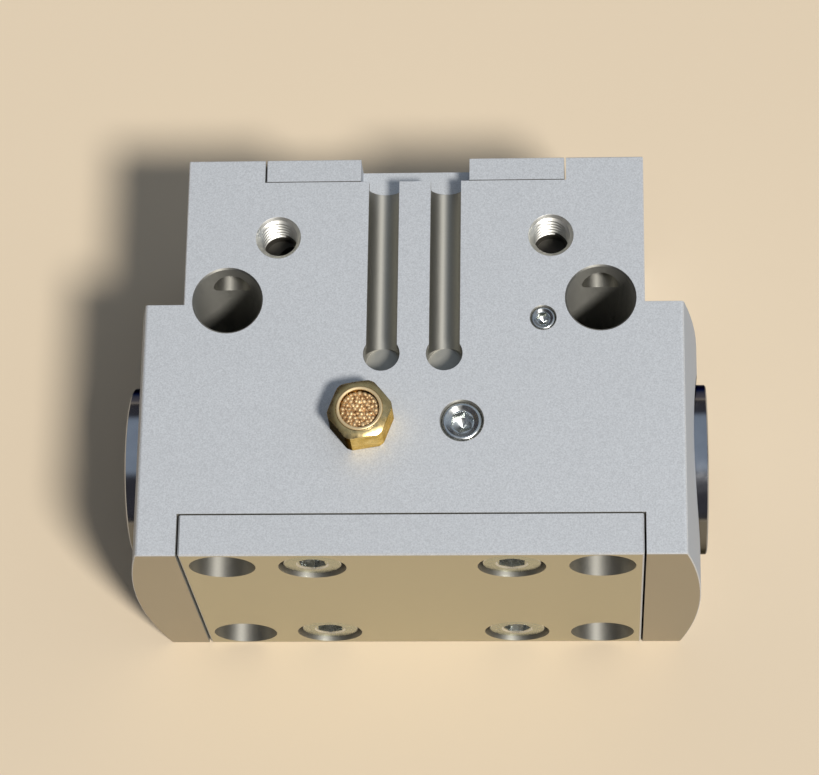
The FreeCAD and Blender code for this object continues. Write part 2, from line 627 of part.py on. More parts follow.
def make_wedge_hook():
    """The wedge with a T-shaped hook along each sloping flank."""
    half_outline = [(0, wedge_bottom_y), (wedge_bottom_half, wedge_bottom_y)]
    half_outline += [(wedge_top_half, wedge_top_y), (0, wedge_top_y)]
    half = prism(half_outline, wedge_half)
    slope_length = (wedge_top_y - wedge_bottom_y) * math.hypot(1, WEDGE_RATIO)
    run = (-slope_length, 2 * slope_length)
    hook_end = HOOK_NECK_LENGTH + HOOK_HEAD_THICKNESS
    neck = flank_bar(run, (-WEDGE_WALL / 2, HOOK_NECK_LENGTH + CUT_OVERRUN), HOOK_NECK_WIDTH / 2)
    head = flank_bar(run, (HOOK_NECK_LENGTH, hook_end), HOOK_HEAD_WIDTH / 2)
    level = block((0, opening_half_x), (wedge_bottom_y, wedge_top_y), (-wedge_half, wedge_half))
    half = half.fuse([neck.common(level), head.common(level)])
    body = half.fuse(mirrored(half)).removeSplitter()
    top = point(0, wedge_top_y)
    bottom = point(0, wedge_bottom_y)
    register = hole(rod_r + THREAD_GAP, top, -Y_AXIS, ROD_REGISTER)
    screw_hole = hole(PLATE_SCREW_DIAMETER / 2 + CLEARANCE_HOLE_GAP, top, -Y_AXIS, height)
    pocket_depth = PLATE_SCREW_HEAD_HEIGHT + PLATE_SCREW_SETBACK
    pocket = hole(wedge_head_pocket_r, bottom, Y_AXIS, pocket_depth)
    return body.cut([register, screw_hole, pocket])


def make_wedge_screw():
    """The screw that draws the wedge against the end of the piston rod."""
    seat_y = wedge_bottom_y + PLATE_SCREW_HEAD_HEIGHT + PLATE_SCREW_SETBACK
    grip = wedge_top_y - ROD_REGISTER - seat_y + WEDGE_SCREW_GRIP
    return cap_screw(point(0, seat_y), Y_AXIS, PLATE_SCREW_DIAMETER, PLATE_SCREW_HEAD_DIAMETER,
                     PLATE_SCREW_HEAD_HEIGHT, PLATE_SCREW_SOCKET, grip)


def make_jaw_right():
    """A round jaw, cut to the slope of the wedge, with the T-slot that its hook slides in."""
    centre = point(0, -jaw_axis_drop)
    profile = [(0, 0), (jaw_r, 0), (jaw_r, jaw_reach - JAW_RIM_CHAMFER)]
    profile += [(jaw_r - JAW_RIM_CHAMFER, jaw_reach), (0, jaw_reach)]
    blank = ring(profile, centre, X_AXIS)
    far = 2 * height
    run = (-far, far)
    neck_end = HOOK_NECK_LENGTH + HOOK_CLEARANCE
    head_span = (HOOK_NECK_LENGTH - HOOK_CLEARANCE, neck_end + HOOK_HEAD_THICKNESS)
    inner_side = flank_bar(run, (-far, FLANK_GAP), jaw_r + CUT_OVERRUN)
    slot_neck = flank_bar(run, (-far, neck_end), HOOK_NECK_WIDTH / 2 + HOOK_CLEARANCE)
    slot_head = flank_bar(run, head_span, HOOK_HEAD_WIDTH / 2 + HOOK_CLEARANCE)
    cutters = [inner_side, slot_neck, slot_head]
    for side in (-1, 1):
        mouth = point(jaw_reach, -jaw_axis_drop + side * FINGER_PITCH / 2)
        cutters.append(hole(SLEEVE_RECESS_DIAMETER / 2, mouth, -X_AXIS, SLEEVE_RECESS_DEPTH))
        cutters.append(hole(FINGER_THREAD_DIAMETER / 2, mouth, -X_AXIS, FINGER_THREAD_DEPTH))
    return blank.cut(cutters)


def make_jaw_wiper_right():
    """The ring in the side of the housing that keeps dirt off the jaw."""
    inner = jaw_r + WIPER_CLEARANCE
    outer = wiper_pocket_r - GROOVE_GAP
    lip_start = WIPER_WIDTH - WIPER_LIP
    profile = [(inner + WIPER_LIP, 0), (outer, 0), (outer, lip_start), (outer - WIPER_LIP, lip_start)]
    profile += [(inner + WIPER_LIP, WIPER_WIDTH), (inner, WIPER_WIDTH), (inner, lip_start)]
    return ring(profile, point(wiper_inner_x, -jaw_axis_drop), X_AXIS)


def make_breather_filter_body():
    """A hexagonal brass fitting with a cup for the porous disc and a drilled shank."""
    seat = point(-chamber_port_x, -jaw_axis_drop, half_depth)
    head = hexagon(FILTER_HEX, seat, Z_AXIS, FILTER_HEIGHT, FILTER_TURN)
    rim_r = FILTER_RIM_DIAMETER / 2
    slope_drop = (FILTER_HEX - rim_r) * FILTER_CHAMFER_SLOPE
    profile = [(0, 0), (FILTER_HEX, 0), (FILTER_HEX, FILTER_HEIGHT - slope_drop)]
    profile += [(rim_r, FILTER_HEIGHT), (0, FILTER_HEIGHT)]
    head = head.common(ring(profile, seat, Z_AXIS))
    shank = Part.makeCylinder(chamber_port_r - THREAD_GAP, FILTER_SHANK_LENGTH, seat, -Z_AXIS)
    top = seat + Z_AXIS * FILTER_HEIGHT
    cup = hole(FILTER_CUP_DIAMETER / 2, top, -Z_AXIS, FILTER_CUP_DEPTH)
    through = FILTER_HEIGHT + FILTER_SHANK_LENGTH + CUT_OVERRUN
    air_hole = hole(FILTER_AIR_HOLE / 2, top, -Z_AXIS, through)
    return head.fuse(shank).removeSplitter().cut([cup, air_hole])


def make_breather_filter_element():
    """The sintered disc that fills the cup."""
    thickness = FILTER_CUP_DEPTH - FILTER_ELEMENT_SETBACK
    floor = point(-chamber_port_x, -jaw_axis_drop, half_depth + FILTER_HEIGHT - FILTER_CUP_DEPTH)
    return Part.makeCylinder(FILTER_CUP_DIAMETER / 2 - FILTER_FIT, thickness, floor, Z_AXIS)


def make_chamber_plug():
    """The plug in the second port of the jaw chamber."""
    top = point(chamber_port_x, -jaw_axis_drop, half_depth - PLUG_SETBACK)
    return socket_plug(top, -Z_AXIS, CHAMBER_PORT_DIAMETER, PLUG_LENGTH, PLUG_SOCKET, PLUG_CROWN)


def make_passage_set_screw():
    """The small screw that closes the drilling beside the right jaw's mounting hole."""
    top = point(SET_SCREW_X, -SET_SCREW_DROP, half_depth - SET_SCREW_SETBACK)
    crown = SET_SCREW_SETBACK
    return socket_plug(top, -Z_AXIS, SET_SCREW_DIAMETER, SET_SCREW_LENGTH, SET_SCREW_SOCKET, crown)


def make_parts():
    jaw = make_jaw_right()
    wiper = make_jaw_wiper_right()
    return {
        "housing": make_housing(),
        "base_cover": make_base_cover(),
        "base_cover_screws": make_base_cover_screws(),
        "base_cover_seal": make_base_cover_seal(),
        "closing_plate": make_closing_plate(),
        "closing_plate_screws": make_closing_plate_screws(),
        "closing_plate_seal": make_closing_plate_seal(),
        "piston": make_piston(),
        "piston_seal": make_piston_seal(),
        "piston_magnet": make_piston_magnet(),
        "rod_seal": make_rod_seal(),
        "rod_seal_retainer": make_rod_seal_retainer(),
        "wedge_hook": make_wedge_hook(),
        "wedge_screw": make_wedge_screw(),
        "jaw_right": jaw,
        "jaw_left": mirrored(jaw),
        "jaw_wiper_right": wiper,
        "jaw_wiper_left": mirrored(wiper),
        "breather_filter_body": make_breather_filter_body(),
        "breather_filter_element": make_breather_filter_element(),
        "chamber_plug": make_chamber_plug(),
        "passage_set_screw": make_passage_set_screw(),
    }


os.makedirs("parts", exist_ok=True)
for name, shape in make_parts().items():
    shape.exportStep(f"parts/{name}.step")
    box = shape.BoundBox
    spans = [f"{low:.2f}..{high:.2f}" for low, high in
             ((box.XMin, box.XMax), (box.YMin, box.YMax), (box.ZMin, box.ZMax))]
    print(name, "valid" if shape.isValid() else "INVALID", len(shape.Solids), "solids", *spans,
          f"volume {shape.Volume:.1f}")
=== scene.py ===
import json
import math
import random

import bmesh
import bpy
from mathutils import Matrix, Vector

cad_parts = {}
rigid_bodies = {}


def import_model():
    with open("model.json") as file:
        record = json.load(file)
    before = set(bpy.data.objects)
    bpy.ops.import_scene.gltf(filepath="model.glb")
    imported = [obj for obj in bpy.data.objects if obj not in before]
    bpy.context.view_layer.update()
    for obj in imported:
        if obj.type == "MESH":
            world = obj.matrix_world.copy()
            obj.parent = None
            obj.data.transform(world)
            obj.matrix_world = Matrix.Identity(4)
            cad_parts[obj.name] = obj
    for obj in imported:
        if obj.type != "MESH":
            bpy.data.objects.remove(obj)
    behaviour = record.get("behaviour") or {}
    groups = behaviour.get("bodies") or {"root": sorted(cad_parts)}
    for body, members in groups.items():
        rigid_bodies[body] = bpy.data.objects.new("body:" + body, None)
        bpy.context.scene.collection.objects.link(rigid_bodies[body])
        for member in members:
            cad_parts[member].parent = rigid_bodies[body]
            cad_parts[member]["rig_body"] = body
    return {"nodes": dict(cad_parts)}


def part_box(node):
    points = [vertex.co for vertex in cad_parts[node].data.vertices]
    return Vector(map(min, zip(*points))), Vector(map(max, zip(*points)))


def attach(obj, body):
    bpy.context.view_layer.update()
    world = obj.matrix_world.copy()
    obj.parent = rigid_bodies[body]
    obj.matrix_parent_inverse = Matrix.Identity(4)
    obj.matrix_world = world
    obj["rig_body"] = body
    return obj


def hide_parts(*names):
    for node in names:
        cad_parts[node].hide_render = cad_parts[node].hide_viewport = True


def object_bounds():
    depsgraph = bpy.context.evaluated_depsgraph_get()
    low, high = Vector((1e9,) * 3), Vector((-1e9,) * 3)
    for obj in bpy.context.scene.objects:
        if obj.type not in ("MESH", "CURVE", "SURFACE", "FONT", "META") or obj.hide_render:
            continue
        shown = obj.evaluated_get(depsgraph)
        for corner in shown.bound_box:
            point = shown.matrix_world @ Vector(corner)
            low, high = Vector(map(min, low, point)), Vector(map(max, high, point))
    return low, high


# The looks of a pneumatic parallel gripper, which lies on its back on a plain pale table.
# Everything is in metres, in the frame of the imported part: +X is the way the right jaw opens,
# +Y points out of the base face and +Z out of the port face.

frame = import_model()
cad_low, cad_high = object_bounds()

MM = 0.001
SEED = 11

# Camera: what it looks at, and from where
CAMERA_TARGET = Vector((-0.32, -29.97, 18.0)) * MM
CAMERA_DISTANCE = 378.35 * MM
CAMERA_AZIMUTH = 8.99
CAMERA_ELEVATION = 68.86
CAMERA_ROLL = -8.80
CAMERA_LENS = 139.63
CAMERA_SENSOR = 36.0
CAMERA_NEAREST = 0.01
CAMERA_FURTHEST = 20.0

# Light: the direction to the key lamp, its width as seen from the part, and the sky. The sky is
# light overhead, and dark below a tilt above the horizon on the left, before and behind the part.
KEY_DIRECTION = Vector((0.435, -0.53, 1.0))
KEY_WIDTH = math.radians(10.5)
KEY_STRENGTH = 3.15
KEY_COLOUR = (1.0, 0.975, 0.93)
SKY_LIGHT = (0.28, 0.325, 0.385)
SKY_DARK = (0.045, 0.043, 0.05)
SKY_BACK_EDGE = math.radians(28)
SKY_FRONT_EDGE = math.radians(112)
SKY_LEFT_EDGE = math.radians(55)
SKY_EDGE_SOFTNESS = 0.10
FLOOR_COLOUR = (0.745, 0.615, 0.45)
FLOOR_HALF_WIDTH = 3.0
FLOOR_ROUGHNESS = 0.7
FLOOR_SHEEN = 0.2

# Finish: the ways to the two ends, the anodised skin, and the radius that the shading gives to edges
TO_BASE_END = (0, 1, 0)
TO_WORKING_END = (0, -1, 0)
BLASTED_COLOUR = (0.69, 0.71, 0.735)
BLASTED_METALLIC = 0.38
SHADED_EDGE = 0.05 * MM

# Angles past which an edge is sharp: on bodies, on turned pieces and on grains
SHARP_ANGLE = 30
TURNED_SHARP_ANGLE = 20
GRAIN_SHARP_ANGLE = 60

# Outside of the housing, by which bored and milled faces are told from the blasted ones. The port
# face is as high above the middle of the part as the back face is below it.
PORT_FACE_Z = -cad_low.z
NARROW_HALF_WIDTH = 27.8 * MM
SHOULDER_Y = -19.1 * MM
CHEEK_INNER_X = 31.9 * MM
FILLET_Z = 17.4 * MM
SKIN = 0.02 * MM
EDGE = 0.14 * MM
NOTCH_HALF_WIDTH = 7.0 * MM
NOTCH_Z = 11.0 * MM
BASE_COVER_THICKNESS = 3.0 * MM

# Cosines beyond which a face looks straight along an axis, or is level in a port
STRAIGHT = 0.9
LEVEL = 0.98

# Threads: core and outer diameter and pitch. The core and the crest of the tap each lie between
# two shares of the pitch.
PORT_THREAD = (4.2 * MM, 5.0 * MM, 0.8 * MM)
PORT_PLACE = (16.55 * MM, -10.35 * MM)
PORT_MOUTH = 5.6 * MM
PORT_DEPTH = 5.5 * MM
# Depth below the port face from which the air ports are painted dark as shade
PORT_DARK_DEPTH = 4.6 * MM
FINGER_THREAD = (3.3 * MM, 4.0 * MM, 0.7 * MM)
FINGER_PITCH = 11.0 * MM
FINGER_DEPTH = 7.2 * MM
TAP_OVERSIZE = 0.03 * MM
TAP_CORE = (0.0, 0.25)
TAP_CREST = (0.5625, 0.6875)
THREAD_STEPS = 60
WELD_DISTANCE = 0.001 * MM

# Turned shapes: steps round the axis and over a rounded edge. Screws: the chamfered tip, and the cone
# at the bottom of a socket, as shares of the socket's width, with the radius of its blunt point.
SPUN_STEPS = 96
EDGE_STEPS = 6
SCREW_TIP = 0.3 * MM
CONE_RADIUS = 0.45
CONE_DROP = 0.2
CONE_POINT = 0.02 * MM

# Plugs: shares of the radius
PLUG_ROUNDNESS = 0.16
PLUG_MOUTH = 0.82
PLUG_MOUTH_DROP = 0.15

# Breather filter
FILTER_STEPS = 144
FILTER_HEX = 7.0 * MM
FILTER_TURN = math.radians(9.5)
FILTER_RIM = 5.5 * MM
FILTER_RIM_ROUNDNESS = 0.16 * MM
FILTER_CUP = 4.7 * MM
FILTER_CUP_DEPTH = 3.0 * MM
FILTER_CORNER = 7.7 * MM
FILTER_STEP = 5.6 * MM
FILTER_STEP_DROP = 0.22 * MM
FILTER_LEDGE = 6.3 * MM
FILTER_LEDGE_DROP = 0.27 * MM
FILTER_CHAMFER_SLOPE = 0.5
FILTER_EDGE = 0.05 * MM
FILTER_SHANK_R = 2.45 * MM
FILTER_SHANK_TIP = 0.4 * MM

# Grains of the filter's disc: how they are spaced, scattered, sized, sunk and flattened
GRAIN_DIAMETER = 0.68 * MM
GRAIN_SPACING = 0.56 * MM
GRAIN_ROW_SHARE = math.sqrt(0.75)
GRAIN_SCATTER = 0.06 * MM
GRAIN_SIZES = (0.7, 1.15)
GRAIN_SUNK = 0.12 * MM
GRAIN_OVERHANG = 0.6
GRAIN_FLATTEST = 0.75
GRAIN_SUBDIVISIONS = 3
GRAIN_BED_DROP = 0.6 * MM
GRAIN_LAYER_DROP = 0.26 * MM
GRAIN_LAYER_OFFSET = 0.5

random_state = random.Random(SEED)
scene = bpy.context.scene
slot_of = {name: node.data.materials[0].name for name, node in frame["nodes"].items()}


# Node helpers

def new_material(name, colour, metallic, roughness):
    """A material and its main shader, with the plain values set on the shader itself."""
    material = bpy.data.materials.new(name)
    material.use_nodes = True
    shader = material.node_tree.nodes["Principled BSDF"]
    shader.inputs["Base Color"].default_value = (*colour, 1.0)
    shader.inputs["Metallic"].default_value = metallic
    shader.inputs["Roughness"].default_value = roughness
    return material, shader


def add_node(material, kind, **values):
    """A node with values for its sockets, named in lower case, or for its own settings."""
    node = material.node_tree.nodes.new("ShaderNode" + kind)
    shown = [socket for socket in node.inputs if socket.enabled]
    sockets = {socket.name.lower().replace(" ", "_"): socket for socket in shown}
    for key, value in values.items():
        if key in sockets:
            sockets[key].default_value = value
        else:
            setattr(node, key, value)
    return node


def feed(material, value, socket):
    """Gives a socket a number, a colour or another node's output."""
    if isinstance(value, bpy.types.NodeSocket):
        material.node_tree.links.new(value, socket)
    elif isinstance(value, (tuple, list)):
        socket.default_value = (*value, 1.0)
    else:
        socket.default_value = value


def mix(material, factor, first, second, kind="Color"):
    """Blends two colours, or two numbers where the kind is Float."""
    node = add_node(material, "Mix", data_type="RGBA" if kind == "Color" else "FLOAT")
    values = {"Factor_Float": factor, "A_" + kind: first, "B_" + kind: second}
    for socket in node.inputs:
        if socket.identifier in values:
            feed(material, values[socket.identifier], socket)
    return next(socket for socket in node.outputs if socket.identifier == "Result_" + kind)


def replaced(material, value, *changes, kind="Color"):
    """A colour or a number, with another in its place on the faces of each mask in turn."""
    for mask, other in changes:
        value = mix(material, mask, value, other, kind)
    return value


def spread(material, source, low, high, source_low=0.3, source_high=0.7):
    """Maps the middle of a noise's range, or another range, onto a range of values."""
    node = add_node(material, "MapRange", from_min=source_low, from_max=source_high, to_min=low, to_max=high)
    feed(material, source, node.inputs["Value"])
    return node.outputs["Result"]


def noise(material, feature, detail=2.0, stretch=(1, 1, 1)):
    """Noise whose features are about this long. A stretch above 1 draws them out along an axis."""
    place = add_node(material, "TexCoord").outputs["Object"]
    mapping = add_node(material, "Mapping", scale=[1 / share for share in stretch])
    feed(material, place, mapping.inputs["Vector"])
    texture = add_node(material, "TexNoise", scale=1 / feature, detail=detail)
    feed(material, mapping.outputs["Vector"], texture.inputs["Vector"])
    return texture.outputs["Fac"]


def clouded(material, feature, detail, dark, pale):
    """A colour that drifts between two, in clouds whose features are about this long."""
    return mix(material, spread(material, noise(material, feature, detail), 0.0, 1.0), dark, pale)


def facing(material, direction, low, high, both_ways=False):
    """From 0 to 1 as a face comes round to a direction, or to its opposite too, between two cosines."""
    dot = add_node(material, "VectorMath", operation="DOT_PRODUCT")
    feed(material, add_node(material, "TexCoord").outputs["Normal"], dot.inputs[0])
    dot.inputs[1].default_value = direction
    cosine = dot.outputs["Value"]
    if both_ways:
        size = add_node(material, "Math", operation="ABSOLUTE")
        feed(material, cosine, size.inputs[0])
        cosine = size.outputs["Value"]
    return spread(material, cosine, 0.0, 1.0, low, high)


def mark(material, name):
    """The faces that a piece has marked under this name."""
    return add_node(material, "Attribute", attribute_name=name).outputs["Fac"]


def vary_roughness(material, shader, feature, detail, low, high):
    """Roughness that drifts between two values."""
    feed(material, spread(material, noise(material, feature, detail), low, high), shader.inputs["Roughness"])


def add_bump(material, shader, source, height, edge_radius=0.0):
    """Raises the surface by up to this height, and rounds its edges in the shading."""
    bump = add_node(material, "Bump", strength=1.0, distance=height)
    feed(material, source, bump.inputs["Height"])
    if edge_radius:
        bevel = add_node(material, "Bevel", radius=edge_radius)
        feed(material, bevel.outputs["Normal"], bump.inputs["Normal"])
    feed(material, bump.outputs["Normal"], shader.inputs["Normal"])


# Materials

def blasted_masks(material):
    """Masks for the sides, the working end, and the faces that the pieces have marked."""
    masks = {name: mark(material, name) for name in ("bored", "tapped", "deep")}
    masks["sideways"] = facing(material, (1, 0, 0), low=0.8, high=0.9, both_ways=True)
    masks["end"] = facing(material, TO_WORKING_END, low=0.9, high=0.99)
    return masks


def blasted_colour(material, masks, tone, painted_end_colour):
    """A pale skin with darker specks, bare metal in the holes, and painted shade and reflection on some
    faces.
    """
    # Painted shade and reflection: the sides are painted darker and bluer than the skin.
    painted_side_shade = (0.42, 0.46, 0.52)
    bored_colour = (0.43, 0.42, 0.38)
    tapped_colour = (0.78, 0.77, 0.72)
    # Painted shade: the bottoms of the air ports and the chamfers of the seams are painted nearly black.
    painted_hollow_shade = (0.05, 0.045, 0.035)
    cloud_tone = 0.975
    speck_tone = 0.79
    light = [share * tone for share in BLASTED_COLOUR]
    dark = [share * cloud_tone for share in light]
    specks = [share * speck_tone for share in light]
    skin = clouded(material, feature=9.0 * MM, detail=3.0, dark=dark, pale=light)
    skin = clouded(material, feature=0.16 * MM, detail=1.0, dark=specks, pale=skin)
    # Painted reflection: the working end is painted darker and warmer than the skin, as the warm table it
    # mirrors; its smoother, more metallic finish is its own.
    skin = replaced(material, skin, (masks["sideways"], painted_side_shade), (masks["end"], painted_end_colour))
    bare = replaced(material, bored_colour, (masks["tapped"], tapped_colour), (masks["deep"], painted_hollow_shade))
    return mix(material, masks["bored"], skin, bare)


def set_blasted_finish(material, shader, masks):
    """A dull skin, smoother at the working end, and bare metal with some shine in the holes."""
    metallic = replaced(material, BLASTED_METALLIC, (masks["end"], 0.95), (masks["sideways"], 0.3),
                        (masks["bored"], 1.0), (masks["deep"], 0.0), kind="Float")
    feed(material, metallic, shader.inputs["Metallic"])
    grain = noise(material, feature=0.3 * MM)
    matt = spread(material, grain, low=0.5, high=0.6)
    shine = spread(material, grain, low=0.52, high=0.60)
    shine = replaced(material, shine, (masks["tapped"], 0.42), kind="Float")
    roughness = replaced(material, matt, (masks["end"], 0.4), (masks["sideways"], 0.75),
                         (masks["bored"], shine), kind="Float")
    feed(material, roughness, shader.inputs["Roughness"])


def draw_light_out(material, shader, masks):
    """Draws the light on bored faces out along the tool's way.

    Tool marks run round these faces, so that way is up and down in the holes of the port face, and
    along y elsewhere.
    """
    drawn_out = replaced(material, 0.0, (masks["bored"], 0.57), (masks["tapped"], 0.0), kind="Float")
    feed(material, drawn_out, shader.inputs["Anisotropic"])
    lengthwise = facing(material, (0, 0, 1), low=0.03, high=0.06, both_ways=True)
    feed(material, mix(material, lengthwise, (0, 0, 1), (0, 1, 0)), shader.inputs["Tangent"])


def blasted_aluminium(name, tone, painted_end_colour, edge_radius):
    """Fine-blasted, clear-anodised aluminium, with bare metal on the bored and milled faces."""
    material, shader = new_material(name, BLASTED_COLOUR, BLASTED_METALLIC, roughness=0.55)
    masks = blasted_masks(material)
    feed(material, blasted_colour(material, masks, tone, painted_end_colour), shader.inputs["Base Color"])
    set_blasted_finish(material, shader, masks)
    draw_light_out(material, shader, masks)
    pits = noise(material, feature=0.09 * MM, detail=1.0)
    pits = replaced(material, pits, (masks["bored"], 0.5), kind="Float")
    add_bump(material, shader, pits, height=0.004 * MM, edge_radius=edge_radius)
    return material


def polished_steel(name):
    """Hardened and ground steel with a faint lay of grinding marks, and a painted dark reflection where it
    faces an end.
    """
    material, shader = new_material(name, (0.50, 0.52, 0.56), metallic=1.0, roughness=0.15)
    dark, pale = (0.45, 0.47, 0.51), (0.53, 0.55, 0.59)
    # Painted reflection: the steel is painted darker and bluer where it faces the base end, and darker where
    # it faces the working end.
    painted_base_end_reflection, painted_working_end_reflection = (0.11, 0.12, 0.17), (0.20, 0.20, 0.19)
    base_end = facing(material, TO_BASE_END, low=0.5, high=0.62)
    working_end = facing(material, TO_WORKING_END, low=0.74, high=0.84)
    steel = clouded(material, feature=3.0 * MM, detail=4.0, dark=dark, pale=pale)
    steel = replaced(material, steel, (base_end, painted_base_end_reflection), (working_end, painted_working_end_reflection))
    feed(material, steel, shader.inputs["Base Color"])
    feed(material, steel, shader.inputs["Specular Tint"])
    vary_roughness(material, shader, feature=1.5 * MM, detail=4.0, low=0.12, high=0.17)
    lay = noise(material, feature=0.05 * MM, stretch=(1, 60, 1))
    add_bump(material, shader, lay, height=0.0006 * MM, edge_radius=SHADED_EDGE)
    return material


def zinc_plate(name):
    """Bright bluish zinc on steel screws, with a few dull patches and a painted reflection where they face
    the working end.
    """
    material, shader = new_material(name, (0.62, 0.64, 0.64), metallic=1.0, roughness=0.2)
    dark, pale, painted_end_colour = (0.56, 0.585, 0.59), (0.74, 0.76, 0.75), (0.40, 0.42, 0.34)
    # Painted reflection: faces toward the working end are painted darker and warmer than the zinc.
    end = facing(material, TO_WORKING_END, low=0.9, high=0.99)
    zinc = clouded(material, feature=1.4 * MM, detail=3.0, dark=dark, pale=pale)
    feed(material, mix(material, end, zinc, painted_end_colour), shader.inputs["Base Color"])
    vary_roughness(material, shader, feature=0.8 * MM, detail=3.0, low=0.18, high=0.34)
    add_bump(material, shader, noise(material, 0.25 * MM), height=0.003 * MM, edge_radius=SHADED_EDGE)
    return material


def turned_brass(name):
    """Bright brass with turning marks and stains, painted shade on one side, and a paler crimped rim."""
    material, shader = new_material(name, (0.84, 0.62, 0.27), metallic=1.0, roughness=0.3)
    dark, pale = (0.58, 0.42, 0.18), (0.80, 0.62, 0.31)
    painted_shade_colour, rim_colour = (0.13, 0.10, 0.04), (0.84, 0.65, 0.38)
    # Painted shade: faces turned to the lower left are painted nearly black.
    shaded = facing(material, (-0.77, -0.64, 0), low=0.55, high=0.9)
    brass = clouded(material, feature=1.2 * MM, detail=4.0, dark=dark, pale=pale)
    brass = mix(material, shaded, brass, painted_shade_colour)
    feed(material, brass, shader.inputs["Specular Tint"])
    rim = mark(material, "rim")
    feed(material, mix(material, rim, brass, rim_colour), shader.inputs["Base Color"])
    feed(material, mix(material, rim, 1.0, 0.6, "Float"), shader.inputs["Metallic"])
    dull = spread(material, noise(material, feature=0.5 * MM, detail=4.0), low=0.22, high=0.36)
    feed(material, mix(material, rim, dull, 0.4, "Float"), shader.inputs["Roughness"])
    marks = noise(material, feature=0.10 * MM, detail=3.0, stretch=(6, 6, 1))
    add_bump(material, shader, marks, height=0.003 * MM, edge_radius=SHADED_EDGE)
    return material


def sintered_bronze(name):
    """Fused bronze grains, some copper-red and some pale."""
    material, shader = new_material(name, (0.86, 0.62, 0.38), metallic=0.75, roughness=0.6)
    dark, pale = (0.48, 0.28, 0.12), (0.93, 0.72, 0.43)
    bronze = clouded(material, feature=0.6 * MM, detail=2.0, dark=dark, pale=pale)
    feed(material, bronze, shader.inputs["Base Color"])
    vary_roughness(material, shader, feature=0.4 * MM, detail=2.0, low=0.42, high=0.68)
    add_bump(material, shader, noise(material, 0.28 * MM), height=0.09 * MM)
    return material


def black_rubber(name):
    """Matt black rubber of the seals and wipers."""
    material, shader = new_material(name, (0.018, 0.018, 0.020), metallic=0.0, roughness=0.6)
    dark, pale = (0.012, 0.012, 0.014), (0.030, 0.030, 0.033)
    rubber = clouded(material, feature=0.6 * MM, detail=4.0, dark=dark, pale=pale)
    feed(material, rubber, shader.inputs["Base Color"])
    add_bump(material, shader, noise(material, 0.08 * MM), height=0.006 * MM)
    return material


def machined_aluminium(name):
    """Bare turned aluminium with fine rings about the cylinder axis."""
    material, shader = new_material(name, (0.75, 0.76, 0.77), metallic=1.0, roughness=0.28)
    dark, pale = (0.68, 0.69, 0.71), (0.80, 0.81, 0.82)
    aluminium = clouded(material, feature=2.0 * MM, detail=4.0, dark=dark, pale=pale)
    feed(material, aluminium, shader.inputs["Base Color"])
    rings = noise(material, feature=0.06 * MM, stretch=(30, 1, 30))
    add_bump(material, shader, rings, height=0.002 * MM, edge_radius=SHADED_EDGE)
    return material


def hardened_steel(name):
    """Black-grey heat-treated steel, ground on its working faces."""
    material, shader = new_material(name, (0.20, 0.20, 0.21), metallic=1.0, roughness=0.32)
    dark, pale = (0.14, 0.14, 0.155), (0.27, 0.27, 0.28)
    steel = clouded(material, feature=1.5 * MM, detail=5.0, dark=dark, pale=pale)
    feed(material, steel, shader.inputs["Base Color"])
    lay = noise(material, feature=0.08 * MM, detail=3.0, stretch=(1, 20, 1))
    add_bump(material, shader, lay, height=0.002 * MM, edge_radius=SHADED_EDGE)
    return material


def ferrite(name):
    """Dark grey plastic-bonded magnet."""
    material, shader = new_material(name, (0.05, 0.05, 0.055), metallic=0.3, roughness=0.45)
    dark, pale = (0.035, 0.034, 0.036), (0.075, 0.074, 0.08)
    magnet = clouded(material, feature=0.3 * MM, detail=5.0, dark=dark, pale=pale)
    feed(material, magnet, shader.inputs["Base Color"])
    add_bump(material, shader, noise(material, feature=0.1 * MM, detail=4.0), height=0.004 * MM)
    return material


materials = {
    "anodised_housing": blasted_aluminium(
        "blasted_housing", tone=1.01, painted_end_colour=(0.40, 0.37, 0.30), edge_radius=0.06 * MM),
    "anodised_cover": blasted_aluminium(
        "blasted_cover", tone=1.0, painted_end_colour=(0.505, 0.48, 0.365), edge_radius=0.0),
    "machined_aluminium": machined_aluminium("turned_aluminium"),
    "polished_steel": polished_steel("ground_steel"),
    "hardened_steel": hardened_steel("dark_steel"),
    "zinc_plated_steel": zinc_plate("bright_zinc"),
    "bright_brass": turned_brass("turned_brass"),
    "sintered_bronze": sintered_bronze("bronze_grains"),
    "black_rubber": black_rubber("seal_rubber"),
    "magnet_ferrite": ferrite("ferrite"),
}


# Mesh helpers

def new_piece(name, mesh):
    """An object of the scene with this mesh."""
    piece = bpy.data.objects.new(name, mesh)
    scene.collection.objects.link(piece)
    return piece


def dress(piece, node):
    """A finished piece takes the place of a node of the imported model, and moves with its body."""
    piece.data.materials.clear()
    piece.data.materials.append(materials[slot_of[node]])
    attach(piece, frame["nodes"][node]["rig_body"])
    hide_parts(node)


def welded_copy(node, name):
    """The node's own shape as a mesh with shared corners, which can be cut."""
    source = frame["nodes"][node].data
    corners = [corner.co for corner in source.vertices]
    faces = [face.vertices[:] for face in source.polygons]
    mesh = bpy.data.meshes.new(name)
    mesh.from_pydata(corners, [], faces)
    work = bmesh.new()
    work.from_mesh(mesh)
    bmesh.ops.remove_doubles(work, verts=work.verts, dist=WELD_DISTANCE)
    work.to_mesh(mesh)
    work.free()
    return new_piece(name, mesh)


def apply_modifiers(piece):
    """Gives a piece the mesh that its modifiers make."""
    shown = piece.evaluated_get(bpy.context.evaluated_depsgraph_get())
    mesh = bpy.data.meshes.new_from_object(shown)
    piece.modifiers.clear()
    piece.data = mesh


def cut(piece, cutter):
    """Takes the cutter's shape out of the piece."""
    modifier = piece.modifiers.new("cut", "BOOLEAN")
    modifier.operation = "DIFFERENCE"
    modifier.solver = "EXACT"
    modifier.object = cutter
    apply_modifiers(piece)
    bpy.data.objects.remove(cutter)


